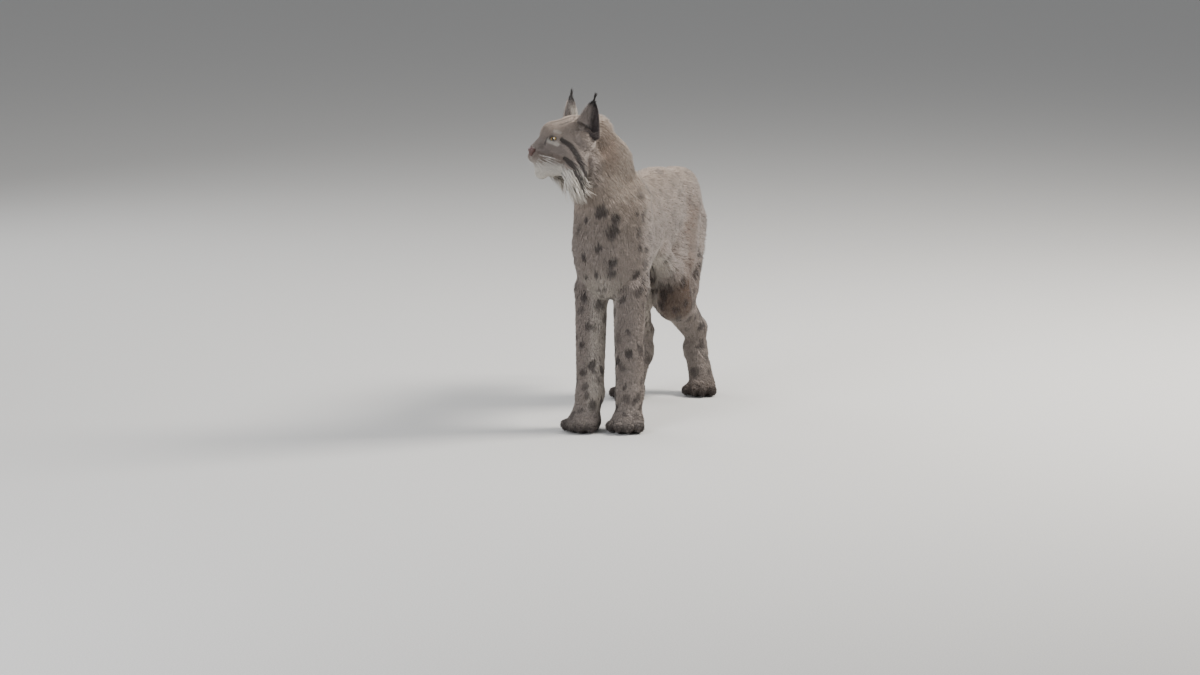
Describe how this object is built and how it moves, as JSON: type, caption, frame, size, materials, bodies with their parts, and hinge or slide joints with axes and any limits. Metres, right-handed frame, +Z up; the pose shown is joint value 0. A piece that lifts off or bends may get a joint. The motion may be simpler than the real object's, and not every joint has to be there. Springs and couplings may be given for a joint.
{
  "type": "eurasian lynx",
  "caption": "Life-size standing wild cat with tufted ears, a cheek ruff, a short tail and large paws, its head turned to its right.",
  "frame": {"origin": "on the ground, under the middle of the outline seen from above", "axes": "+Z up; the lynx looks along -Y and its left side is +X"},
  "size_m": [0.2728, 0.8272, 0.8423],
  "materials": {
    "coat": "grey-brown fur with darker spots and pale underparts",
    "black_coat": "black fur",
    "ear_coat": "short dark fur with a pale patch behind",
    "eye": "wet amber iris with a dark pupil",
    "nose": "damp dark skin"
  },
  "bodies": {
    "root": {"torso": "coat", "neck": "coat", "head": "coat", "tail": "coat", "foreleg_left": "coat", "foreleg_right": "coat", "forepaw_left": "coat", "forepaw_right": "coat", "thigh_left": "coat", "thigh_right": "coat", "shank_left": "coat", "shank_right": "coat", "hindfoot_left": "coat", "hindfoot_right": "coat", "tail_tip": "black_coat", "ear_left": "ear_coat", "ear_right": "ear_coat", "eye_left": "eye", "eye_right": "eye", "nose": "nose"}
  },
  "joints": []
}
